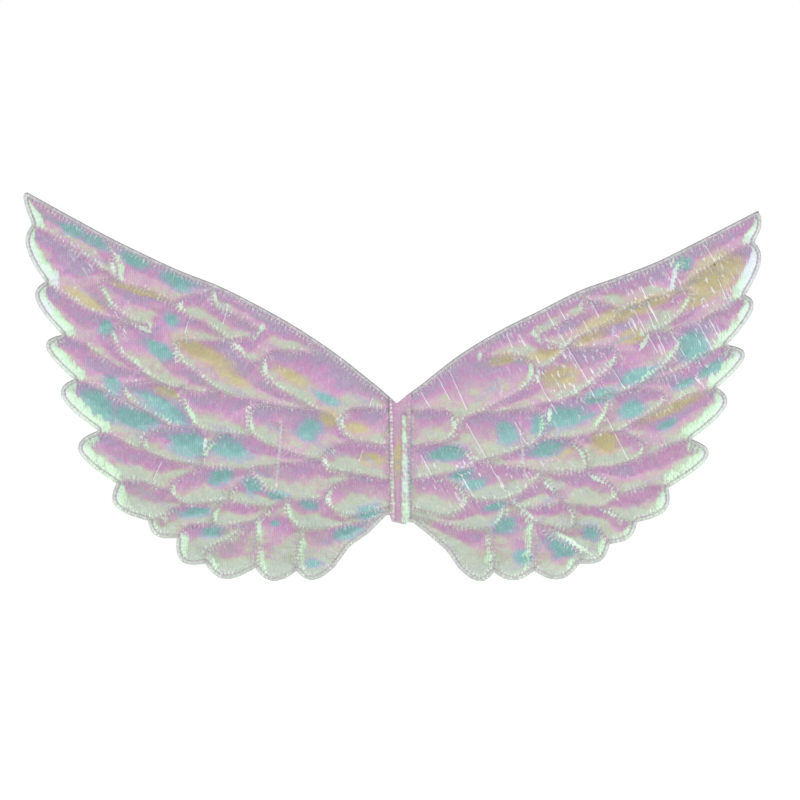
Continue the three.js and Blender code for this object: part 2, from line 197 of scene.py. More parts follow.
# Soft patches in the film: other hues, scuffed areas whose scratches get painted highlights, cool tints for
# the painted highlights, and painted glints along the seams.
# Each is x, z, half length, half width, slant in degrees.
TINTS = {
    "left": {
        "teal": [
            (-229, 163, 9, 5, -25), (-214, 155, 14, 4, -25), (-188, 144, 12, 5, -28), (-155, 127, 16, 6, -22),
            (-160, 100, 6, 5, -30), (-206, 96, 5, 5, 0), (-168, 79, 11, 6, -25), (-202, 55, 9, 6, -40),
            (-167, 39, 22, 7, -30), (-211, 41, 15, 7, -42), (-185, 32, 17, 7, -15), (-148, 12, 15, 10, -15),
            (-120, 11, 15, 9, -15), (-127, -9, 9, 6, 0), (-104, -15, 8, 7, 0), (-143, -34, 12, 4, 10),
            (-133, -48, 8, 4, 10), (-88, -42, 4, 3, 0), (-38, -49, 12, 5, 15),
            (-62, -70, 6, 3, 0), (-22, -33, 10, 6, 15), (-64, -29, 8, 4, -10), (-64, 23, 9, 7, 0),
            (-52, 45, 9, 3, -25), (-85, -22, 8, 3, -5),
        ],
        "gold": [
            (-138, 77, 24, 6, -27), (-163, 49, 10, 4, -15), (-222, 115, 17, 3.5, -30),
            (-183, 121, 22, 3, -15), (-50, 32, 7, 6, -40), (-31, 25, 11, 4, -10), (-118, 60, 14, 4, -30),
            (-75, 60, 16, 4, -30), (-20, 3, 9, 5, 0),
        ],
        "scuff_sheen": [(-222, 146, 16, 9, -50), (-200, 100, 20, 14, -30)],
        "cool_highlight": [(-232, 118, 18, 6, -50), (-248, 108, 5, 4, -40)],
        "glint": [
            (-115, 82, 5, 2, -30), (-95, 66, 2, 7, 0), (-42, 29, 3, 5, 0), (-53, 1, 2, 6, 30),
            (-51, -26, 3, 3, 0), (-201, 137, 2, 8, 15), (-154, 110, 2, 4, 0), (-181, 95, 9, 1.8, -25),
            (-131, 118, 2, 5, 0), (-107, 32, 1.6, 8, 0), (-137, 12, 1.6, 8, 0), (-79, -30, 1.6, 6, 15),
            (-157, 78, 1.6, 8, 0),
        ],
    },
    "right": {
        "teal": [
            (204, 83, 12, 11, 20), (218, 66, 10, 6, 25), (198, 56, 10, 4, 20), (164, 61, 13, 7, 15),
            (162, 38, 10, 7, 20), (138, 47, 12, 5, 15), (116, 33, 17, 8, 8), (104, 10, 14, 6, 18),
            (96, 28, 6, 8, 0), (74, 22, 8, 9, 0), (73, -43, 9, 6, 20), (113, -59, 11, 6, -20),
            (85, -65, 7, 5, -10), (133, -49, 8, 6, -20), (51, -15, 10, 4, 5), (66, -30, 9, 3, 20),
            (32, 7, 14, 6, 0), (43, -8, 9, 5, 25), (197, 140, 7, 6, 30), (186, 28, 9, 4, 25),
        ],
        "gold": [
            (160, 107, 42, 6, 22), (220, 132, 24, 13, 30), (209, 116, 14, 5, 28), (162, 89, 10, 6, 15),
            (132, 87, 13, 4, 20), (100, 76, 14, 4, 12), (112, 61, 14, 8, 10), (189, 39, 28, 4, 25),
            (143, 15, 10, 9, 0), (72, 73, 10, 4, 20), (110, 8, 12, 5, 10),
        ],
        "glint": [
            (38, 28, 3, 4, 0), (50, 4, 6, 2, -30), (191, 144, 2, 8, -20), (170, 85, 8, 2, 60),
            (114, 82, 4, 2, 0), (88, -35, 9, 2, -40), (120, -55, 20, 1.6, -32), (138, -11, 9, 1.6, -25),
            (104, -16, 6, 1.6, -45), (147, -35, 8, 1.6, -25), (96, 62, 1.6, 6, 0), (104, 34, 1.6, 7, 0),
            (240, 118, 5, 2, 60),
        ],
        "cool_highlight": [(248, 142, 10, 18, -10), (190, 126, 10, 10, 20), (162, 98, 8, 6, 0), (248, 190, 6, 10, 0)],
        "scuff_sheen": [(190, 110, 60, 34, 25), (110, 70, 40, 40, 0), (215, 70, 40, 26, 20), (60, -10, 60, 20, 0)],
    },
}

# Free stretch of the elastic from the top of its sewn stretch round to the bottom, as (y, z).
LOOP = [
    [ELASTIC_BEHIND, ELASTIC_SEWN[1]], [2.4, 35], [9, 42], [24, 48], [46, 47], [68, 38], [86, 20], [94, -4],
    [92, -30], [80, -50], [60, -62], [38, -63], [20, -53], [8, -38], [2.4, -25],
    [ELASTIC_BEHIND, ELASTIC_SEWN[0]],
]


# ---- flat drawing helpers ----

def smooth(points, steps=8):
    """Catmull-Rom curve through the points."""
    p = np.array(points, float)
    ends = np.vstack([p[:1], p, p[-1:]])
    t = np.linspace(0, 1, steps, endpoint=False)[:, None]
    spans = []
    for a, b, c, d in zip(ends[:-3], ends[1:-2], ends[2:-1], ends[3:]):
        v0, v1 = (c - a) / 2, (d - b) / 2
        spans.append(b + v0 * t + (3 * (c - b) - 2 * v0 - v1) * t**2 + (2 * (b - c) + v0 + v1) * t**3)
    return np.vstack(spans + [p[-1:]])


def tip(start, corner, end, steps=24):
    """Round feather tip from one notch to the next, without its first point."""
    start, corner, end = (np.array(p, float) for p in (start, corner, end))
    a, b = start + HANDLE * (corner - start), end + HANDLE * (corner - end)
    t = np.linspace(0, 1, steps + 1)[1:, None]
    return (1 - t) ** 3 * start + 3 * t * (1 - t) ** 2 * a + 3 * t**2 * (1 - t) * b + t**3 * end


def resample(path, spacing):
    """The path with even steps of about that spacing, and the length along it at each point."""
    d = np.r_[0, np.cumsum(np.linalg.norm(np.diff(path, axis=0), axis=1))]
    n = max(int(round(d[-1] / spacing)), 1)
    s = np.linspace(0, d[-1], n + 1)
    return np.column_stack([np.interp(s, d, path[:, k]) for k in range(path.shape[1])]), s


def inside(points, outline):
    """Which points lie inside the closed outline."""
    x, z = points[:, 0], points[:, 1]
    hit = np.zeros(len(points), bool)
    for a, b in zip(outline, np.roll(outline, -1, axis=0)):
        if a[1] == b[1]:
            continue
        crosses = ((a[1] > z) != (b[1] > z)) & (x < (b[0] - a[0]) * (z - a[1]) / (b[1] - a[1]) + a[0])
        hit ^= crosses
    return hit


def inset(outline, distance):
    """The closed outline moved inwards. Points that come too close to the outline are dropped."""
    along = np.roll(outline, -1, axis=0) - np.roll(outline, 1, axis=0)
    along /= np.linalg.norm(along, axis=1)[:, None]
    inward = np.column_stack([-along[:, 1], along[:, 0]])
    moved = outline + inward * distance
    if inside(moved, outline).mean() < 0.5:
        moved = outline - inward * distance
    near, _ = nearest(moved, outline)
    return moved[(near > 0.93 * distance) & inside(moved, outline)]


def nearest(points, samples):
    """Distance from each point to the closest sample, and that sample's index."""
    tree = kdtree.KDTree(len(samples))
    for i, (x, z) in enumerate(samples):
        tree.insert((x, z, 0), i)
    tree.balance()
    found = [tree.find((x, z, 0)) for x, z in points]
    return np.array([f[2] for f in found]), np.array([f[1] for f in found])


# ---- one wing's pattern laid flat ----

class Pattern:
    """Outline, stitch rows, seams and creases of one wing, in (x, z) millimetres."""

    def __init__(self, side):
        wing = WINGS[side]
        self.sign = wing["sign"]
        path = [np.array([wing["inner"]], float), smooth([*wing["leading"], wing["point"]])]
        notch = wing["point"]
        for corner_u, corner_z, notch_u, notch_z in wing["tips"]:
            path.append(tip(notch, (corner_u, corner_z), (notch_u, notch_z)))
            notch = (notch_u, notch_z)
        path.append(np.array(wing["lower"], float))
        closed = np.vstack(path)
        closed[:, 0] *= self.sign
        self.outline, _ = resample(np.vstack([closed, closed[:1]]), OUTLINE_STEP)
        self.outline = self.outline[:-1]
        self.stitch_row = inset(self.outline, EDGE_STITCH_IN)
        x, z = self.outline.T
        twice_area = np.dot(x, np.roll(z, -1)) - np.dot(z, np.roll(x, -1))
        self.area = abs(twice_area) / 2
        self.turn = math.copysign(1, twice_area)
        self.seams = [self.seam(wing, number, points) for number, points in SEAMS]
        self.bar = np.array([(self.sign * u, z) for u, z in zip(BAR_AT, ELASTIC_SEWN[::-1])])
        self.creases = [np.array(c, float) for c in CREASES[side]]

    def seam(self, wing, number, points):
        """One quilting seam, as a smooth curve in (x, z)."""
        (a, b, c), (d, e, f) = wing["warp"]
        path = [(a * u + b * z + c, d * u + e * z + f) for u, z in points]
        if number:
            path.insert(0, wing["tips"][number - 1][2:])
        path = smooth(path)
        path[:, 0] *= self.sign
        return path


# ---- cloth of a wing ----

def triangulate(pattern, spacing, with_creases):
    """Flat mesh whose edges follow the stitch row, the seams and the creases: points, triangles and the
    kind of each point: 0 free, 1 stitched down, 2 crease."""
    rows = [(pattern.outline, True, 1), (pattern.stitch_row, True, 1)]
    rows += [(resample(seam, spacing)[0], False, 1) for seam in pattern.seams]
    rows.append((resample(pattern.bar, spacing)[0], False, 1))
    if with_creases:
        for ends in pattern.creases:
            line, _ = resample(ends, spacing)
            across = np.array([ends[1][1] - ends[0][1], ends[0][0] - ends[1][0]])
            across *= CREASE_HALF / np.linalg.norm(across)
            rows += [(line, False, 2), (line + across, False, 0), (line - across, False, 0)]
    points, edges, kinds = [], [], []
    for path, closed, kind in rows:
        step = resample(np.vstack([path, path[:1]]), spacing)[0][:-1] if closed else path
        first = len(points)
        points += [tuple(p) for p in step]
        kinds += [kind] * len(step)
        edges += [(first + i, first + i + 1) for i in range(len(step) - 1)]
        if closed:
            edges.append((first + len(step) - 1, first))
    fixed = np.array(points)
    low, high = pattern.outline.min(0), pattern.outline.max(0)
    xs = np.arange(low[0], high[0], spacing)
    zs = np.arange(low[1], high[1], spacing * MESH_ROWS)
    fill = np.array([(x + spacing / 2 * (j % 2), z) for j, z in enumerate(zs) for x in xs])
    fill += np.random.default_rng(7).uniform(-MESH_JITTER, MESH_JITTER, fill.shape) * spacing
    fill = fill[inside(fill, pattern.outline)]
    fill = fill[nearest(fill, fixed)[0] > MESH_CLEAR * spacing]
    flat = [Vector(p) for p in points] + [Vector(p) for p in fill]
    kinds += [0] * len(fill)
    verts, _, faces, from_verts, _, _ = delaunay_2d_cdt(flat, edges, [], 0, 1e-4)
    verts = np.array([tuple(v) for v in verts])
    kind = np.array([max([kinds[i] for i in source] or [1]) for source in from_verts])
    faces = np.array([f for f in faces if len(f) == 3])
    faces, used = without_loose_points(faces[inside(verts[faces].mean(1), pattern.outline)], len(verts))
    return verts[used], faces, kind[used]


def without_loose_points(faces, count):
    """The faces renumbered for the points that they use, and those points."""
    used = np.unique(faces)
    renumber = np.full(count, -1)
    renumber[used] = np.arange(len(used))
    return renumber[faces], used


def placed(name, data):
    """A new object in the scene."""
    obj = bpy.data.objects.new(name, data)
    bpy.context.collection.objects.link(obj)
    return obj


def mesh_object(name, verts, faces):
    """New object from millimetre coordinates."""
    mesh = bpy.data.meshes.new(name)
    mesh.from_pydata((np.asarray(verts) * MM).tolist(), [], [list(map(int, f)) for f in faces])
    mesh.validate()
    mesh.shade_smooth()
    return placed(name, mesh)


def puffed(points, faces, held, start):
    """Where the points of a cloth come to lie as the wadding pushes it out between its seams."""
    flat = np.column_stack([points[:, 0], -start, points[:, 1]]) * (SIM_SCALE * MM)
    mesh = bpy.data.meshes.new("sim")
    mesh.from_pydata(flat.tolist(), [], [list(map(int, f)) for f in faces])
    obj = bpy.data.objects.new("sim", mesh)
    bpy.context.collection.objects.link(obj)
    pins = obj.vertex_groups.new(name="pins")
    pins.add([int(i) for i in np.flatnonzero(held)], 1.0, "REPLACE")
    cloth = obj.modifiers.new("cloth", "CLOTH")
    settings = cloth.settings
    settings.quality = 5
    settings.mass = 0.3
    settings.tension_stiffness = 25
    settings.compression_stiffness = 25
    settings.shear_stiffness = 8
    settings.bending_stiffness = 0.4
    settings.air_damping = 2
    settings.vertex_group_mass = "pins"
    settings.shrink_min = -SIM_SPARE
    settings.use_pressure = True
    settings.uniform_pressure_force = SIM_PRESSURE
    settings.effector_weights.gravity = 0
    cloth.collision_settings.use_collision = False
    cloth.collision_settings.use_self_collision = False
    cloth.point_cache.frame_start = 1
    cloth.point_cache.frame_end = SIM_FRAMES + 1
    scene = bpy.context.scene
    for step in range(1, SIM_FRAMES + 1):
        scene.frame_set(step)
    result = obj.evaluated_get(bpy.context.evaluated_depsgraph_get()).to_mesh()
    moved = np.empty(len(points) * 3)
    result.vertices.foreach_get("co", moved)
    scene.frame_set(1)
    bpy.data.objects.remove(obj)
    return moved.reshape(-1, 3) / (SIM_SCALE * MM)


class Cloth:
    """One cloth of a wing: `face` is 1 for the front, which puffs towards -Y, and -1 for the back."""

    def __init__(self, pattern, face, spacing, seam_depth, swell):
        self.pattern = pattern
        self.points, faces, kind = triangulate(pattern, spacing, face == 1)
        self.tris = facing_out(self.points, faces, face)
        self.measure_seams()
        self.measure_edge()
        bar_dist, _ = nearest(self.points, resample(pattern.bar, FINE_STEP)[0])
        self.crease = np.where(kind == 2, 1.0, 0.0)
        # the bar of stitches gets the creases' painted pale highlight, without their ridge
        self.crease[bar_dist < 0.9] = 0.8
        held = (kind == 1) | (self.edge_dist < EDGE_STITCH_IN + 0.1)
        rise = swell * (1 - np.exp(-self.seam_dist / SWELL_REACH))
        rise[held] = 0
        rise[held & (bar_dist < 0.5)] = BAR_RISE * swell
        if face == -1:
            under = self.under_elastic()
            held |= under
            rise[under] = 0
        depth = seam_depth + rise
        self.coords = puffed(self.points, self.tris, held, depth)

    def measure_seams(self):
        """Distance from each point to its nearest row of stitches, and the place along that row."""
        row = self.pattern.stitch_row
        rows = [resample(path, FINE_STEP)[0] for path in self.pattern.seams]
        rows.append(resample(np.vstack([row, row[:1]]), FINE_STEP)[0])
        lengths = [np.arange(len(r)) * FINE_STEP + 1000.0 * i for i, r in enumerate(rows)]
        self.seam_dist, at = nearest(self.points, np.vstack(rows))
        self.seam_run = np.concatenate(lengths)[at]

    def measure_edge(self):
        """Distance from each point to the cut edge, and how far that edge faces up, from -1 to 1."""
        outline = self.pattern.outline
        border = resample(np.vstack([outline, outline[:1]]), 0.4)[0]
        self.edge_dist, at = nearest(self.points, border)
        along = np.gradient(border, axis=0)[at]
        self.edge_up = -self.pattern.turn * along[:, 0] / np.linalg.norm(along, axis=1)
        self.edge_dist[self.edge_dist < 0.25] = 0

    def under_elastic(self, margin=1.5):
        """Points of the back cloth that the sewn elastic presses flat."""
        x, z = self.points[:, 0] * self.pattern.sign, self.points[:, 1]
        across = np.abs(x - ELASTIC_AT) < ELASTIC_WIDE / 2 + margin
        return across & (z > ELASTIC_SEWN[0] - margin) & (z < ELASTIC_SEWN[1] + margin)


def facing_out(points, faces, face):
    """Triangles turned so that they face the front (face 1) or the back."""
    a, b, c = (points[faces[:, k]] for k in range(3))
    turn = (b[:, 0] - a[:, 0]) * (c[:, 1] - a[:, 1]) - (b[:, 1] - a[:, 1]) * (c[:, 0] - a[:, 0])
    wanted = turn * face > 0
    out = faces.copy()
    out[~wanted] = faces[~wanted][:, ::-1]
    return out


def put_attribute(obj, name, values):
    """Stores one number or one vector for each point of the mesh, for its material to read."""
    values = np.asarray(values, np.float32)
    kind = "FLOAT_VECTOR" if values.ndim == 2 else "FLOAT"
    data = obj.data.attributes.new(name, kind, "POINT").data
    data.foreach_set("vector" if values.ndim == 2 else "value", values.ravel())


def blurred(values, tris, rounds):
    """Vertex values averaged over their neighbours."""
    pairs = np.vstack([tris[:, [0, 1]], tris[:, [1, 2]], tris[:, [2, 0]]])
    pairs = np.vstack([pairs, pairs[:, ::-1]])
    out = values.copy()
    for _ in range(rounds):
        total, count = out.copy(), np.ones(len(out))
        np.add.at(total, pairs[:, 0], out[pairs[:, 1]])
        np.add.at(count, pairs[:, 0], 1)
        out = total / count[:, None]
    return out


def tint(points, patches):
    """Strength at each (x, z) point of soft oval patches: x, z, half length, half width, slant in degrees."""
    total = np.zeros(len(points))
    for x, z, length, width, slant in patches:
        turn = math.radians(slant)
        dx, dz = points[:, 0] - x, points[:, 1] - z
        along = (dx * math.cos(turn) + dz * math.sin(turn)) / length
        across = (dz * math.cos(turn) - dx * math.sin(turn)) / width
        total = np.maximum(total, 1.15 * np.exp(-((along**2 + across**2) ** 1.5)))
    return total


def vertex_normals(obj):
    """The normals of the mesh's points."""
    out = np.empty(len(obj.data.vertices) * 3)
    obj.data.vertices.foreach_get("normal", out)
    return out.reshape(-1, 3)


# ---- materials ----

class Nodes:
    """Short-hand for building one material's node tree."""

    def __init__(self, name):
        self.material = bpy.data.materials.new(name)
        self.material.use_nodes = True
        self.tree = self.material.node_tree
        self.shader = self.tree.nodes["Principled BSDF"]

    def link(self, value, socket):
        """Joins the socket to a value, or sets it where that is a number, a vector or a colour."""
        if isinstance(value, bpy.types.NodeSocket):
            self.tree.links.new(value, socket)
        elif socket.type == "RGBA":
            socket.default_value = (*value[:3], 1)
        else:
            socket.default_value = value

    def node(self, kind, inputs, output=0, **settings):
        """Adds a node and returns one of its outputs."""
        node = self.tree.nodes.new(kind)
        for key, value in settings.items():
            setattr(node, key, value)
        for key, value in inputs.items():
            self.link(value, node.inputs[key])
        return node.outputs[output]

    def math(self, operation, a, b=0.0, c=0.0):
        return self.node("ShaderNodeMath", {0: a, 1: b, 2: c}, operation=operation)

    def attribute(self, name):
        return self.node("ShaderNodeAttribute", {}, "Vector", attribute_name=name)

    def wave(self, value, pitch, wobble=None, reach=0.0):
        """Sine of a length, one full turn each pitch, with its phase shifted by wobble times reach."""
        turns = self.math("MULTIPLY", value, 2 * math.pi / pitch)
        if wobble is not None:
            turns = self.math("MULTIPLY_ADD", wobble, reach, turns)
        return self.math("SINE", turns)

    def split(self, vector):
        """The vector's x, y and z."""
        node = self.tree.nodes.new("ShaderNodeSeparateXYZ")
        self.link(vector, node.inputs[0])
        return node.outputs

    def noise(self, vector, scale, detail=2.0, roughness=0.5):
        inputs = {"Vector": vector, "Scale": scale, "Detail": detail, "Roughness": roughness}
        return self.node("ShaderNodeTexNoise", inputs, "Fac")

    def stretch(self, vector, scale=(1, 1, 1), turn=0.0):
        inputs = {"Vector": vector, "Rotation": (0, turn, 0), "Scale": scale}
        return self.node("ShaderNodeMapping", inputs)

    def ramp(self, value, stops):
        node = self.tree.nodes.new("ShaderNodeValToRGB")
        self.link(value, node.inputs[0])
        band = node.color_ramp
        while len(band.elements) < len(stops):
            band.elements.new(0.5)
        for element, (at, color) in zip(band.elements, stops):
            element.position = at
            element.color = (*color, 1)
        return node.outputs[0]

    def remap(self, value, low, high, to_low=0.0, to_high=1.0):
        """The value from one range moved to another, and held inside it."""
        inputs = {"Value": value, "From Min": low, "From Max": high, "To Min": to_low, "To Max": to_high}
        return self.node("ShaderNodeMapRange", inputs, clamp=True)

    def mix(self, amount, a, b):
        return self.node("ShaderNodeMix", {0: amount, 6: a, 7: b}, 2, data_type="RGBA")

    def bump(self, height, strength, distance, normal=None):
        inputs = {"Height": height, "Strength": strength, "Distance": distance}
        if normal is not None:
            inputs["Normal"] = normal
        return self.node("ShaderNodeBump", inputs)

    def finish(self, color, normal=None, **sockets):
        self.link(color, self.shader.inputs["Base Color"])
        if normal is not None:
            self.link(normal, self.shader.inputs["Normal"])
        for key, value in sockets.items():
            self.link(value, self.shader.inputs[key.replace("_", " ")])
        return self.material


def srgb(r, g, b):
    """Linear colour from 0-255 screen values."""
    def line(v):
        v /= 255
        return v / 12.92 if v <= 0.04045 else ((v + 0.055) / 1.055) ** 2.4
    return tuple(line(v) for v in (r, g, b))


FILM_RIB = 1.4  # pitch of the fine upright ribs in the film, in millimetres
# the film's iridescent reflection, painted into the colour by slope over its dusty pink
FILM_HUES = [  # by how far the film leans up: lower slopes sage, level film dusty pink, upper slopes lilac
    (0.00, srgb(168, 184, 168)), (0.32, srgb(178, 188, 166)), (0.39, srgb(188, 174, 164)),
    (0.45, srgb(192, 162, 177)), (0.58, srgb(195, 153, 182)), (0.74, srgb(199, 141, 190)),
    (0.95, srgb(178, 154, 190)),
]
GOLD_RIM, GOLD_HEART = srgb(194, 166, 152), srgb(192, 182, 122)
TEAL_RIM, TEAL_HEART = srgb(160, 158, 190), srgb(108, 180, 172)
FAR_OUT = srgb(204, 226, 194)
RIB_PALE, STREAK_PALE, SPECK_DARK = srgb(214, 206, 214), srgb(220, 220, 216), srgb(120, 112, 120)
# painted highlights on slopes, seams, scratches and creases, then painted shade in the seam valleys
MINT_HIGHLIGHT, COOL_MINT_HIGHLIGHT = srgb(200, 234, 200), srgb(218, 228, 238)
WHITE_HIGHLIGHT, COOL_WHITE_HIGHLIGHT = srgb(222, 238, 234), srgb(230, 236, 246)
GLINT_DASH, SPARK, SPARK_HEART = srgb(228, 238, 228), srgb(214, 236, 214), srgb(236, 240, 246)
SCRATCH_HIGHLIGHT, CREASE_HIGHLIGHT, SEAM_VALLEY_SHADE = srgb(234, 234, 242), srgb(240, 238, 246), srgb(176, 160, 172)
ALLOWANCE_DULL, ALLOWANCE_PALE = srgb(198, 194, 198), srgb(228, 232, 228)
# painted shade along the stitch row, then the grey cut edge
ROW_VALLEY_SHADE, CUT_LINE = srgb(160, 155, 162), srgb(148, 143, 148)


class Film:
    """What the film's colour is worked out from, at each point of the cloth."""

    def __init__(self, n):
        self.rest = n.attribute("rest")
        self.x, _, self.z = n.split(self.rest)
        self.lean_out, self.lean_up, self.cool_highlight = n.split(n.attribute("lean"))
        self.run, self.gap, self.crease = n.split(n.attribute("seam"))
        self.teal, self.gold, self.scuff_sheen = n.split(n.attribute("tint"))
        self.edge, self.edge_up, self.glint = n.split(n.attribute("edge"))
        self.streak = n.noise(n.stretch(self.rest, (1.0, 1, 0.13)), 1.1, 3.0, 0.65)
        self.fine = n.noise(self.rest, 0.55, 3.0, 0.6)
        self.ragged = n.remap(self.streak, 0.28, 0.72, -0.5, 0.5)
        self.ribs = n.wave(self.x, FILM_RIB, self.fine, 9.0)
        self.leading = n.remap(self.edge_up, 0.5, 0.75)
        # short puckers square to the seams
        near = n.math("POWER", 2.718, n.math("MULTIPLY", self.gap, -0.35))
        self.teeth = n.wave(self.run, STITCH_PITCH, self.fine, 11.0)
        self.pucker = n.math("MULTIPLY", near, self.teeth)


def film_hue(n, film):
    """The hue follows how far the film leans up, as a painted reflection of its iridescent sheen. Low
    feathers are greener, the outermost ones mint.
    """
    broad = n.noise(n.stretch(film.rest, (0.6, 1, 1.0)), 0.06, 3.0, 0.6)
    level = n.math("ADD", n.remap(film.z, -80, 10, 0.32, 0.55), n.remap(film.z, 10, 70, 0.0, 0.09))
    phase = n.math("MULTIPLY_ADD", film.lean_up, 0.9, level)
    phase = n.math("MULTIPLY_ADD", n.math("SUBTRACT", broad, 0.5), 1.3, phase)
    phase = n.math("MULTIPLY_ADD", film.ragged, 0.22, phase)
    phase = n.math("MULTIPLY_ADD", film.pucker, 0.16, phase)
    outermost = n.remap(n.math("ABSOLUTE", film.x), 185, 235)
    far_out = n.math("MULTIPLY", outermost, n.remap(phase, 0.25, 0.36, 0.75, 0.0))
    return n.mix(far_out, n.ramp(phase, FILM_HUES), FAR_OUT)


def film_patches(n, film, color):
    """Gold and teal patches with ragged borders that run along the feathers."""
    outward = n.math("ABSOLUTE", film.x)
    apart = n.math("MULTIPLY", n.math("SIGN", film.x), 50)  # keeps the two wings' patterns different
    along = n.node("ShaderNodeCombineXYZ", {0: outward, 1: apart, 2: film.z})
    turned = n.stretch(along, (1, 1, 1), math.radians(26))
    cloudy = n.noise(n.stretch(turned, (0.35, 1, 1.3)), 0.13, 4.0, 0.65)
    for share, rim, heart in ((film.gold, GOLD_RIM, GOLD_HEART), (film.teal, TEAL_RIM, TEAL_HEART)):
        wavy = n.math("MULTIPLY_ADD", film.ragged, 0.5, share)
        wavy = n.math("MULTIPLY_ADD", n.math("SUBTRACT", cloudy, 0.5), 2.2, wavy)
        color = n.mix(n.remap(wavy, 0.10, 0.45, 0.0, 0.8), color, rim)
        color = n.mix(n.remap(wavy, 0.40, 0.90, 0.0, 0.88), color, heart)
    return color


def film_grain(n, film, color):
    """Upright ribs, pale streaks and dark specks."""
    color = n.mix(n.remap(film.ribs, -1, 1, 0.0, 0.17), color, RIB_PALE)
    color = n.mix(n.remap(film.streak, 0.54, 0.75, 0.0, 0.6), color, STREAK_PALE)
    return n.mix(n.remap(film.fine, 0.32, 0.5, 0.16, 0.0), color, SPECK_DARK)


def film_slopes(n, film, color):
    """Painted highlights: outward slopes turn mint, and the steepest ones nearly white."""
    inner = n.math("MULTIPLY", n.remap(film.edge, 9, 16), n.remap(film.gap, 2.5, 6.5, 0.0, -0.18))
    outward = n.math("ADD", n.math("MULTIPLY_ADD", film.ragged, 0.22, film.lean_out), inner)
    rim = n.math("MULTIPLY", n.remap(film.edge, 4, 13, 0.12, 0.0), n.remap(film.z, -60, 20, -0.3, 1.0))
    outward = n.math("ADD", outward, rim)
    outward = n.math("MULTIPLY_ADD", film.pucker, 0.09, outward)
    outward = n.math("ADD", outward, n.remap(film.z, -85, -40, -0.10, 0.0))
    color = n.mix(n.remap(outward, 0.17, 0.30), color, n.mix(film.cool_highlight, MINT_HIGHLIGHT, COOL_MINT_HIGHLIGHT))
    return n.mix(n.remap(outward, 0.32, 0.50), color, n.mix(film.cool_highlight, WHITE_HIGHLIGHT, COOL_WHITE_HIGHLIGHT))


def film_marks(n, film, color):
    """Painted highlights as pale dashes and glints along the seams, on the scratches and on sharp creases,
    and painted shade in the seam lines.
    """
    gate = n.remap(n.noise(film.rest, 0.09, 2.0), 0.48, 0.58)
    lit = n.math("MAXIMUM", gate, n.remap(film.lean_out, 0.02, 0.16))
    lit = n.math("MAXIMUM", lit, n.math("MULTIPLY", film.leading, n.remap(film.edge, 4, 8, 1.0, 0.0)))
    glint_dash = n.math("MULTIPLY", n.remap(film.teeth, 0.1, 0.7), n.remap(film.gap, 1.2, 4.2, 1.0, 0.0))
    glint_dash = n.math("MULTIPLY", n.math("MULTIPLY", glint_dash, lit), n.remap(film.streak, 0.40, 0.52))
    color = n.mix(n.math("MULTIPLY", glint_dash, 0.7), color, GLINT_DASH)

    # painted glints along the seams, strongest in the listed glint patches
    spark = n.math("MULTIPLY_ADD", film.ragged, 0.9, n.math("MULTIPLY_ADD", film.pucker, 0.6, film.glint))
    color = n.mix(n.remap(spark, 0.45, 0.7, 0.0, 0.9), color, SPARK)
    color = n.mix(n.remap(spark, 0.95, 1.3, 0.0, 0.9), color, SPARK_HEART)

    # painted highlight along the scratches
    color = n.mix(n.math("MULTIPLY", scratch_glints(n, film), 0.8), color, SCRATCH_HIGHLIGHT)
    # painted highlight along the sharp creases and the elastic's stitch bar
    color = n.mix(n.remap(film.crease, 0.25, 0.9, 0.0, 0.85), color, CREASE_HIGHLIGHT)
    # painted shade in the seam valleys
    return n.mix(n.remap(film.gap, 0.3, 0.9, 0.45, 0.0), color, SEAM_VALLEY_SHADE)


def scratch_glints(n, film):
    """Thin straight parallel creases, running down to the right, where the film is scuffed, painted in as
    pale highlights.
    """
    turned = n.stretch(film.rest, (1, 1, 1), math.radians(28))
    lines = n.noise(n.stretch(turned, (1.0, 1, 0.06)), 0.55, 2.0, 0.55)
    return n.math("MULTIPLY", n.remap(lines, 0.60, 0.68), film.scuff_sheen)


def film_border(n, film, color):
    """Pale seam allowance, painted shade in the valley that its stitch row draws in, and the grey cut edge.
    """
    sideways = n.remap(film.edge_up, -0.85, -0.35)  # 0 where the cut edge faces down
    beyond = n.remap(film.edge, EDGE_STITCH_IN - 0.7, EDGE_STITCH_IN - 0.1, 1.0, 0.0)
    allowance = n.mix(n.remap(film.fine, 0.35, 0.65), ALLOWANCE_DULL, ALLOWANCE_PALE)
    color = n.mix(n.math("MULTIPLY", beyond, n.remap(sideways, 0, 1, 0.15, 0.7)), color, allowance)
    # painted shade where the stitch row draws the film in
    off_row = n.math("ABSOLUTE", n.math("SUBTRACT", film.edge, EDGE_STITCH_IN))
    row = n.math("MULTIPLY", n.remap(off_row, 0.3, 0.9, 1.0, 0.0), n.remap(film.leading, 0, 1, 0.75, 0.25))
    row = n.math("MULTIPLY", row, n.remap(sideways, 0, 1, 0.45, 1.0))
    color = n.mix(row, color, ROW_VALLEY_SHADE)
    cut = n.math("MULTIPLY", n.remap(film.edge, 0.25, 0.8, 1.0, 0.0), n.remap(film.leading, 0, 1, 0.18, 0.8))
    return n.mix(cut, color, CUT_LINE)


def film_material():
    """Iridescent film: each step paints over the one before."""
    n = Nodes("film_fabric")
    film = Film(n)
    color = film_hue(n, film)
    for paint in (film_patches, film_grain, film_slopes, film_marks, film_border):
        color = paint(n, film, color)
    normal = n.bump(film.ribs, 0.25, 0.00025)
    normal = n.bump(film.pucker, 0.35, 0.0005, normal)
    normal = n.bump(film.streak, 0.3, 0.0008, normal)
    return n.finish(color, normal, Roughness=0.42, Specular_IOR_Level=0.35)


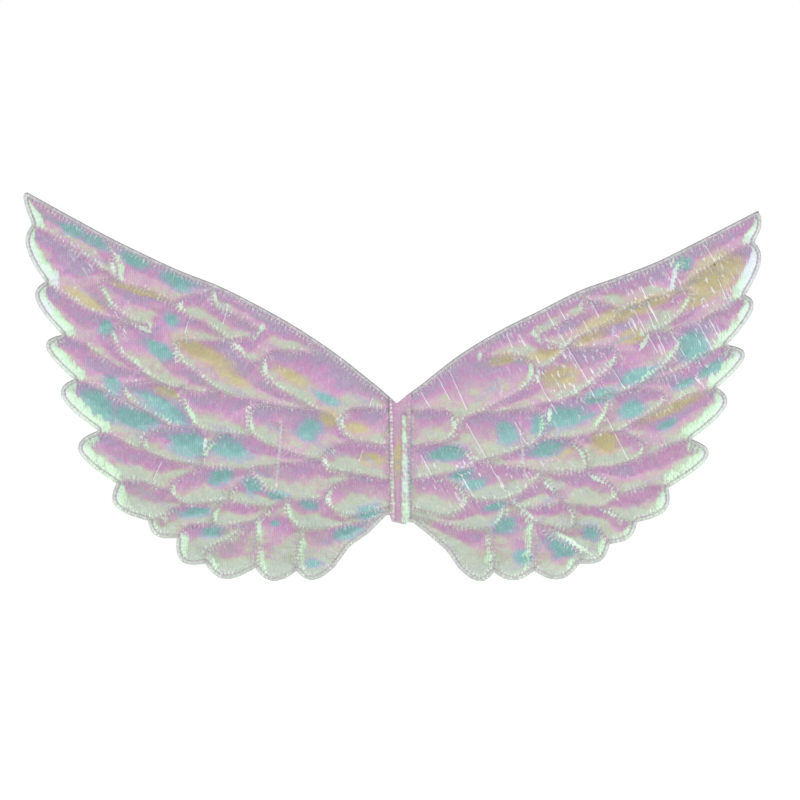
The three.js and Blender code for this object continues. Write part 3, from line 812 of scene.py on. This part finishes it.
def plain_cloth(name, color, weave, rough):
    """Woven cloth with an over-and-under weave of the given pitch."""
    n = Nodes(name)
    rest = n.attribute("rest")
    x, _, z = n.split(rest)
    cloth = n.math("MULTIPLY", n.wave(x, weave), n.wave(z, weave))
    cloudy = n.noise(rest, 0.05, 3.0)
    shade = n.mix(n.remap(cloudy, 0.3, 0.7), [c * 0.93 for c in color], color)
    shade = n.mix(n.remap(cloth, -1, 1, 0.0, 0.12), shade, [c * 0.8 for c in color])
    normal = n.bump(cloth, 0.3, 0.0002)
    return n.finish(shade, normal, Roughness=rough, Sheen_Weight=0.25)


def thread_material():
    """Twisted pale thread."""
    n = Nodes("thread")
    x, _, z = n.split(n.attribute("rest"))
    twist = n.wave(n.math("ADD", x, z), 0.35)
    shade = n.mix(n.remap(twist, -1, 1), srgb(206, 198, 206), srgb(236, 230, 236))
    return n.finish(shade, n.bump(twist, 0.5, 0.0001), Roughness=0.5, Sheen_Weight=0.2)


def elastic_material():
    """White woven elastic: cords along its length, picks across it."""
    n = Nodes("elastic")
    along, across, _ = n.split(n.attribute("band"))
    cords = n.wave(across, 1.1)
    picks = n.wave(along, 0.9, cords, 0.8)
    weave = n.math("MULTIPLY_ADD", picks, 0.5, cords)
    shade = n.mix(n.remap(weave, -1.5, 1.5), srgb(205, 205, 208), srgb(244, 244, 242))
    return n.finish(shade, n.bump(weave, 0.7, 0.00025), Roughness=0.75, Sheen_Weight=0.3)


MATERIALS = {
    "film_fabric": film_material(),
    "backing": plain_cloth("backing", srgb(232, 222, 234), 0.8, 0.55),
    "wadding": plain_cloth("wadding", srgb(244, 244, 240), 1.6, 0.95),
    "thread": thread_material(),
    "elastic": elastic_material(),
}


def piece(name, verts, faces, slot, *nodes):
    """One piece of the wings, with its material, that takes the place of some CAD nodes."""
    obj = mesh_object(name, verts, faces)
    obj.data.materials.append(MATERIALS[slot])
    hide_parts(*nodes)
    return obj


# ---- pieces of a wing ----


def fold_blend(obj):
    """Bakes the cloth's placement into its mesh."""
    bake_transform(obj)


def open_edges(tris):
    """The directed edges that only one triangle has, in the triangles' order."""
    pairs = dict.fromkeys((int(i), int(j)) for t in tris for i, j in zip(t, np.roll(t, -1)))
    return [(i, j) for i, j in pairs if (j, i) not in pairs]


def with_rim(coords, tris, edge_dist):
    """Adds the cut edge: a narrow wall from the cloth's outer edge to where the two cloths meet."""
    rim = [(i, j) for i, j in open_edges(tris) if edge_dist[i] < 0.3 and edge_dist[j] < 0.3]
    ring = sorted({i for pair in rim for i in pair})
    copy = {i: len(coords) + k for k, i in enumerate(ring)}
    low = coords[ring].copy()
    low[:, 1] = -CUT_EDGE_DEPTH
    quads = [[j, i, copy[i], copy[j]] for i, j in rim]
    return np.vstack([coords, low]), [list(t) for t in tris] + quads, ring


def front_film(side, cloth):
    """The shiny front of a wing, with what its material reads stored at each point."""
    coords = cloth.coords.copy()
    coords[cloth.crease == 1, 1] -= CREASE_RISE
    verts, faces, ring = with_rim(coords, cloth.tris, cloth.edge_dist)
    obj = piece(f"{side}_front_film", verts, faces, "film_fabric", f"{side}_front_fabric")
    index = np.r_[np.arange(len(coords)), ring].astype(int)
    normals = vertex_normals(obj)[: len(coords)]
    normals = 0.35 * normals + 0.65 * blurred(normals, cloth.tris, 3)
    patch = {kind: tint(cloth.points, patches) for kind, patches in TINTS[side].items()}
    columns = {
        # smoothed normals, leaning out and up, drive the painted reflection hues and painted highlights; the
        # third column tints those highlights cool
        "lean": (normals[:, 0] * cloth.pattern.sign, normals[:, 2], patch["cool_highlight"]),
        "tint": (patch["teal"], patch["gold"], patch["scuff_sheen"]),
        "seam": (cloth.seam_run, cloth.seam_dist, cloth.crease),
        "edge": (cloth.edge_dist, cloth.edge_up, patch["glint"]),
    }
    put_attribute(obj, "rest", verts)
    for name, values in columns.items():
        put_attribute(obj, name, np.column_stack(values)[index])
    fold_blend(obj)
    return obj


def back_cloth(side, cloth):
    """The plain back of a wing."""
    verts, faces, _ = with_rim(cloth.coords, cloth.tris, cloth.edge_dist)
    obj = piece(f"{side}_back_cloth", verts, faces, "backing", f"{side}_back_fabric")
    put_attribute(obj, "rest", verts)
    fold_blend(obj)
    return obj


def room_at(cloth, points, extreme):
    """Depth of a cloth in front of the origin, the tightest of it around each of the (x, z) points."""
    tree = kdtree.KDTree(len(cloth.points))
    for i, (x, z) in enumerate(cloth.points):
        tree.insert((x, z, 0), i)
    tree.balance()
    found = [tree.find_range((x, z, 0), WADDING_SPACING * 0.9) for x, z in points]
    return np.array([extreme(-cloth.coords[f[1], 1] for f in near) for near in found])


def wadding(side, front, back):
    """The pad that fills the wing, pressed thin along every seam."""
    points, faces, _ = triangulate(front.pattern, WADDING_SPACING, False)
    edge, _ = nearest(points, resample(front.pattern.outline, FINE_STEP)[0])
    centre = points[faces].mean(1)
    keep = (edge[faces].min(1) > EDGE_STITCH_IN - 0.3) & (np.abs(centre[:, 0]) > WADDING_FROM_CENTRE)
    faces, used = without_loose_points(faces[keep], len(points))
    points = points[used]
    near = room_at(front, points, min) - WADDING_GAP
    far = room_at(back, points, max) + WADDING_GAP
    middle = (near + far) / 2
    half = np.maximum((near - far) / 2, 0.05)
    top = np.column_stack([points[:, 0], -(middle + half), points[:, 1]])
    bottom = np.column_stack([points[:, 0], -(middle - half), points[:, 1]])
    count = len(points)
    up = facing_out(points, faces, 1)
    wall = [[j, i, i + count, j + count] for i, j in open_edges(up)]
    all_faces = [list(t) for t in up] + [[a + count, c + count, b + count] for a, b, c in up] + sorted(wall)
    verts = np.vstack([top, bottom])
    obj = piece(f"{side}_wadding_pad", verts, all_faces, "wadding", f"{side}_wadding")
    put_attribute(obj, "rest", verts)
    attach(obj, f"{side}_wing")


# ---- stitches ----

SIDES = 5
SPINDLE = [(0.0, 0.35), (0.2, 0.95), (0.8, 0.95), (1.0, 0.35)]  # share of the length, share of the radius


def stitches(path, depth, facing=1):
    """Separate stitches along an (x, z) path, lying at a depth in front of the origin."""
    verts, faces = [], []
    rings = len(SPINDLE)
    length = np.r_[0, np.cumsum(np.linalg.norm(np.diff(path, axis=0), axis=1))]
    for k in range(int(length[-1] / STITCH_PITCH)):
        at = k * STITCH_PITCH + (STITCH_PITCH - STITCH_LENGTH) / 2
        ends = [np.array([np.interp(at + d, length, path[:, i]) for i in (0, 1)]) for d in (0, STITCH_LENGTH)]
        along = (ends[1] - ends[0]) / max(np.linalg.norm(ends[1] - ends[0]), 1e-6)
        side = np.array([-along[1], along[0]])
        first = len(verts)
        for share, fat in SPINDLE:
            centre = ends[0] + (ends[1] - ends[0]) * share
            lift = STITCH_LIFT * math.sin(math.pi * share)
            for i in range(SIDES):
                turn = 2 * math.pi * i / SIDES
                out = centre + side * STITCH_RADIUS * fat * math.cos(turn)
                y = -(depth + facing * (lift + STITCH_RADIUS * fat * math.sin(turn)))
                verts.append((out[0], y, out[1]))
        for r in range(rings - 1):
            for i in range(SIDES):
                a, b = first + r * SIDES + i, first + r * SIDES + (i + 1) % SIDES
                faces.append([a, b, b + SIDES, a + SIDES])
        faces.append([first + i for i in range(SIDES)][::-1])
        faces.append([first + (rings - 1) * SIDES + i for i in range(SIDES)])
    return verts, faces


def stitch_object(name, runs, node, body):
    """One piece made of every stitch along some runs, each a path, its depth and the way it faces."""
    verts, faces = [], []
    for path, depth, facing in runs:
        run_verts, run_faces = stitches(path, depth, facing)
        faces += [[i + len(verts) for i in face] for face in run_faces]
        verts += run_verts
    obj = piece(name, verts, faces, "thread", node)
    put_attribute(obj, "rest", np.array(verts))
    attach(obj, body)


def both_faces(rows, on_front, on_back):
    """Each row of stitches as it shows on the front and on the back."""
    return [(row, on_front, 1) for row in rows] + [(row, on_back, -1) for row in rows]


def outside_strip(path):
    """The part of a path that lies on the wing, clear of the centre strip."""
    return path[np.abs(path[:, 0]) > STITCHES_FROM_CENTRE]


def wing_stitching(side, pattern):
    """The row along the cut edge, the quilting seams and the bar that holds the elastic."""
    body = f"{side}_wing"
    on_front, on_back = FRONT_SEAM_DEPTH + 0.1, BACK_SEAM_DEPTH - 0.1
    row = pattern.stitch_row
    start = int(np.argmin(np.hypot(row[:, 0], row[:, 1] - row[:, 1].mean())))  # begins beside the strip
    edge = both_faces([outside_strip(np.roll(row, -start, axis=0))], on_front, on_back)
    stitch_object(f"{side}_edge_stitches", edge, f"{side}_edge_stitching", body)
    seams = [outside_strip(resample(seam, 1.0)[0]) for seam in pattern.seams]
    quilting = both_faces([seam for seam in seams if len(seam) > 3], on_front, on_back)
    stitch_object(f"{side}_quilt_stitches", quilting, f"{side}_quilt_stitching", body)
    on_bar = FRONT_SEAM_DEPTH + BAR_RISE * FRONT_SWELL + 0.35
    bars = [(pattern.bar + np.array([dx, 0.0]), on_bar, 1) for dx in (-0.7, 0.0, 0.7)]
    stitch_object(f"{side}_anchor_stitches", bars, f"{side}_anchor_stitching", body)


# ---- elastic arm loops ----

def band_section():
    """The elastic's section once round, as (across, outward) points: two flat faces and rounded edges."""
    half_w, half_t = ELASTIC_WIDE / 2, ELASTIC_THICK / 2
    flat = ELASTIC_WIDE - 2 * ELASTIC_ROUND
    face = [-half_w + ELASTIC_ROUND + flat * k / 12 for k in range(13)]
    section = [(across, half_t) for across in face]
    section += [(half_w, half_t * 0.5), (half_w, -half_t * 0.5)]
    section += [(-across, -half_t) for across in face]
    section += [(-half_w, -half_t * 0.5), (-half_w, half_t * 0.5)]
    return section


def arm_loop(side):
    """One closed band: sewn flat against the wing, then free round the arm."""
    x = WINGS[side]["sign"] * ELASTIC_AT
    free = smooth(LOOP, 8)
    sewn = np.array([[ELASTIC_BEHIND, z] for z in np.linspace(*ELASTIC_SEWN, 16)])
    path, run = resample(np.vstack([free, sewn[1:]]), ELASTIC_STEP)
    path, run = path[:-1], run[:-1]
    along = np.roll(path, -1, axis=0) - np.roll(path, 1, axis=0)
    along /= np.linalg.norm(along, axis=1)[:, None]
    outward = np.column_stack([along[:, 1], -along[:, 0]])
    section = band_section()
    verts, band = [], []
    for (y, z), n, s in zip(path, outward, run):
        for across, up in section:
            ripple = 0.12 * math.sin(2 * math.pi * s / 46.0) * (across / (ELASTIC_WIDE / 2)) ** 2
            lift = up + ripple
            verts.append((x + across, y + n[0] * lift, z + n[1] * lift))
            band.append((s, across, 0))
    faces = []
    points = len(section)
    for r in range(len(path)):
        here, there = r * points, (r + 1) % len(path) * points
        for i in range(points):
            k = (i + 1) % points
            faces.append([here + i, here + k, there + k, there + i])
    nodes = (f"{side}_elastic_sewn_end", f"{side}_elastic_loop")
    obj = piece(f"{side}_elastic_band", verts, faces, "elastic", *nodes)
    put_attribute(obj, "band", np.array(band))
    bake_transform(obj)


def join_stitching(side):
    """The crossed box of stitches where the band's two ends meet."""
    x, z = WINGS[side]["sign"] * ELASTIC_AT, sum(ELASTIC_SEWN) / 2
    box = np.array([[-4, -7], [4, -7], [4, 7], [-4, 7], [-4, -7], [4, 7]], float) + [x, z]
    depth = -(ELASTIC_BEHIND + ELASTIC_THICK / 2 + 0.1)
    stitch_object(f"{side}_join_stitches", [(box, depth, -1)], f"{side}_loop_join_stitching", f"{side}_wing")


# ---- centre strip ----

STRIP_SIDES = (-8, 7.2)
STRIP_TOP = [(-8, 46.5), (-3, 42), (3, 46.8), (7.2, 49.8)]
STRIP_BOTTOM = [(-8, -36), (-6.4, -40.5), (3.4, -43), (5.2, -41), (7.2, -34)]
STRIP_BASE = 1.9  # the back of the folded strip, in front of the origin
TAPE_THICK = 0.28
TAPE_RIB = 1.4


def ridges(x, z, spread=1.0):
    """The two pleats at a point of the strip: each one's share of its full height."""
    down = max(0.0, min(1.0, (45 - z) / 85))
    left = math.exp(-(((x + 7.3 - 2.2 * down) / (spread * (1.3 + 0.2 * down))) ** 4))
    right = math.exp(-(((x - 1.9 - 1.0 * down) / (spread * (1.5 + 1.4 * down))) ** 4))
    return left, right * min(1.0, max(0.0, (36 - z) / 3))


def strip_depth(x, z):
    """How far the folded strip stands in front of the origin: two pleats, a valley and flat edges."""
    left, right = ridges(x, z)
    wave = math.sin(z * 0.55 + x) + 0.8 * math.sin(z * 1.27 - 0.6 * x)
    return STRIP_BASE + 0.5 + left * (1.6 + 0.12 * wave) + right * (2.1 + 0.15 * wave) + 0.05 * wave


def strip_grid(columns, rows):
    """Even (x, z) points over the strip's outline, row by row from its bottom edge."""
    tops, bottoms = np.array(STRIP_TOP, float), np.array(STRIP_BOTTOM, float)
    points = []
    for share in np.linspace(0, 1, rows):
        for x in np.linspace(*STRIP_SIDES, columns):
            high = np.interp(x, tops[:, 0], tops[:, 1])
            low = np.interp(x, bottoms[:, 0], bottoms[:, 1])
            points.append((x, low + (high - low) * share))
    return points


def grid_faces(columns, rows):
    """The four-sided faces between a grid's points."""
    corners = [j * columns + i for j in range(rows - 1) for i in range(columns - 1)]
    return [[a, a + 1, a + columns + 1, a + columns] for a in corners]


def grid_border(columns, rows):
    """A grid's outermost points, once round."""
    border = list(range(columns))
    border += [j * columns + columns - 1 for j in range(1, rows)]
    border += [(rows - 1) * columns + i for i in range(columns - 2, -1, -1)]
    return border + [j * columns for j in range(rows - 2, 0, -1)]


def centre_strip():
    """The folded film strip: a pleated front, walls round it and a flat back."""
    columns, rows = 56, 110
    left, right = STRIP_SIDES
    grid = strip_grid(columns, rows)
    verts = [(x, -strip_depth(x, z), z) for x, z in grid]
    seam = [(z, min(x - left, right - x, 4.2) + 0.3, 0) for x, z in grid]
    faces = grid_faces(columns, rows)
    border = grid_border(columns, rows)
    ring = list(range(len(grid), len(grid) + len(border)))
    verts += [(verts[i][0], -STRIP_BASE, verts[i][2]) for i in border]
    seam += [seam[i] for i in border]
    for k, i in enumerate(border):
        following = (k + 1) % len(border)
        faces.append([i, ring[k], ring[following], border[following]])
    faces.append(ring[::-1])
    obj = piece("centre_strip_film", verts, faces, "film_fabric", "centre_strip")
    strip_looks(obj, verts, seam)
    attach(obj, "spine")
    return obj


def strip_looks(obj, verts, seam):
    """Stores what the film material reads: painted mint highlights on the pleats, gold and teal patches and
    cool tints for the painted highlights.
    """
    normals = vertex_normals(obj)
    places = np.array(verts)
    # painted highlight strength along the two pleats, rippled a little along their length
    ridge_highlight = np.array([0.215 * left + 0.37 * right for left, right in (ridges(x, z, 1.3) for x, _, z in verts)])
    highlight_ripple = np.array([math.sin(1.1 * z + x) + math.sin(0.37 * z + 1) for x, _, z in verts])
    ridge_highlight = ridge_highlight * (0.92 + 0.08 * highlight_ripple) + 0.02
    gold = tint(places[:, [0, 2]], [(-2, 4, 13, 3, 90)])
    teal = 0.7 * tint(places[:, [0, 2]], [(7, -5, 35, 1.2, 90)])
    cool_highlight = 0.5 * tint(places[:, [0, 2]], [(2, -8, 16, 3, 90), (-6, 12, 8, 2, 90)])
    put_attribute(obj, "rest", places + [13.0, 0, 40.0])  # moved, so that its pattern isn't a wing's
    put_attribute(obj, "lean", np.column_stack([ridge_highlight, normals[:, 2] - 0.02, cool_highlight]))
    put_attribute(obj, "seam", np.array(seam))
    put_attribute(obj, "tint", np.column_stack([teal, gold, 0 * gold]))
    put_attribute(obj, "edge", np.tile([30.0, 0.0, 0.0], (len(verts), 1)))  # far from any cut edge


def back_tape():
    """Ribbed tape behind the strip: a thin closed band."""
    columns, rows = 20, 176
    grid = strip_grid(columns, rows)
    verts = []
    for x, z in grid:
        rib = 0.03 * math.sin(2 * math.pi * z / TAPE_RIB)
        verts.append((x, -TAPE_THICK / 4 + rib, z))
    verts += [(x, -TAPE_THICK, z) for x, z in grid]
    faces = []
    for ring in grid_faces(columns, rows):
        faces.append(ring[::-1])
        faces.append([i + len(grid) for i in ring])
    border = grid_border(columns, rows)
    for i, k in zip(border, border[1:] + border[:1]):
        faces.append([i, k, k + len(grid), i + len(grid)])
    obj = piece("centre_tape_weave", verts, faces, "backing", "centre_back_tape")
    put_attribute(obj, "rest", np.array(verts))
    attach(obj, "spine")


def strip_stitching():
    """A row down each side of the strip, on its front and on the tape."""
    for side, x in (("left", -7.6), ("right", 6.2)):
        row = np.array([[x, 43.0], [x, -34.0]])
        runs = both_faces([row], STRIP_BASE + 0.75, TAPE_THICK / 4)
        stitch_object(f"{side}_strip_stitches", runs, f"{side}_strip_stitching", "spine")


# ---- camera, light and floor ----

VIEW_WIDE = 0.560  # metres across the picture, at the wings
VIEW_AWAY = 3.0
VIEW_AT = (-0.0007, 0.04445)  # x and z of the middle of the picture
AIM = Vector((0, 0, 0.05))  # where the lamps point
LAMPS = [  # name, place, size, power
    ("key", (-1.1, -1.3, 1.2), 1.0, 3.6),
    ("fill", (1.2, -1.3, 0.5), 1.0, 2.4),
    ("top", (0.0, -0.4, 1.6), 1.2, 5.0),
    ("rear", (0.3, 1.6, 0.9), 1.2, 7),
]
SKY_STRENGTH = 0.41
FLOOR_REACH = 6.0
FLOOR_DROP = 0.25  # from the lowest point of the wings down to the floor


def camera():
    """Straight on from the front, as in the photo."""
    view = placed("camera", bpy.data.cameras.new("camera"))
    view.data.sensor_width = 36
    view.data.lens = 36 * VIEW_AWAY / VIEW_WIDE
    view.location = (VIEW_AT[0], -VIEW_AWAY, VIEW_AT[1])
    view.rotation_euler = (math.pi / 2, 0, 0)
    view.data.clip_end = 50
    bpy.context.scene.camera = view


def sky():
    """Even white light all round, behind a plain white background."""
    world = bpy.data.worlds.new("studio")
    world.use_nodes = True
    nodes, links = world.node_tree.nodes, world.node_tree.links
    light, seen = nodes["Background"], nodes.new("ShaderNodeBackground")
    for node, strength in ((light, SKY_STRENGTH), (seen, 1.0)):
        node.inputs[0].default_value = (1, 1, 1, 1)
        node.inputs[1].default_value = strength
    path, blend = nodes.new("ShaderNodeLightPath"), nodes.new("ShaderNodeMixShader")
    links.new(path.outputs["Is Camera Ray"], blend.inputs[0])
    links.new(light.outputs[0], blend.inputs[1])
    links.new(seen.outputs[0], blend.inputs[2])
    links.new(blend.outputs[0], nodes["World Output"].inputs[0])
    bpy.context.scene.world = world


def lamps():
    """Four soft area lamps, aimed at the wings."""
    for name, place, size, power in LAMPS:
        data = bpy.data.lights.new(name, "AREA")
        data.size, data.energy = size, power
        lamp = placed(name, data)
        lamp.location = place
        lamp.rotation_euler = (AIM - Vector(place)).to_track_quat("-Z", "Y").to_euler()


def floor():
    """A white floor under the wings."""
    mesh = bpy.data.meshes.new("floor")
    level = CAD_BOX[0][2] - FLOOR_DROP
    corners = [(-1, -1), (1, -1), (1, 1), (-1, 1)]
    mesh.from_pydata([(FLOOR_REACH * x, FLOOR_REACH * y, level) for x, y in corners], [], [(0, 1, 2, 3)])
    ground = placed("floor", mesh)
    white = Nodes("floor")
    white.finish((1, 1, 1, 1), Roughness=1.0, Emission_Color=(1, 1, 1, 1), Emission_Strength=1.0)
    mesh.materials.append(white.material)


# ---- the object ----

camera()
sky()
lamps()
floor()
bpy.context.scene.view_settings.view_transform = "Standard"

for side in WINGS:
    pattern = Pattern(side)
    front = Cloth(pattern, 1, FRONT_SPACING, FRONT_SEAM_DEPTH, FRONT_SWELL)
    back = Cloth(pattern, -1, BACK_SPACING, BACK_SEAM_DEPTH, -BACK_SWELL)
    sheets = [front_film(side, front), back_cloth(side, back)]
    wadding(side, front, back)
    wing_stitching(side, pattern)
    arm_loop(side)
    join_stitching(side)
centre_strip()
back_tape()
strip_stitching()
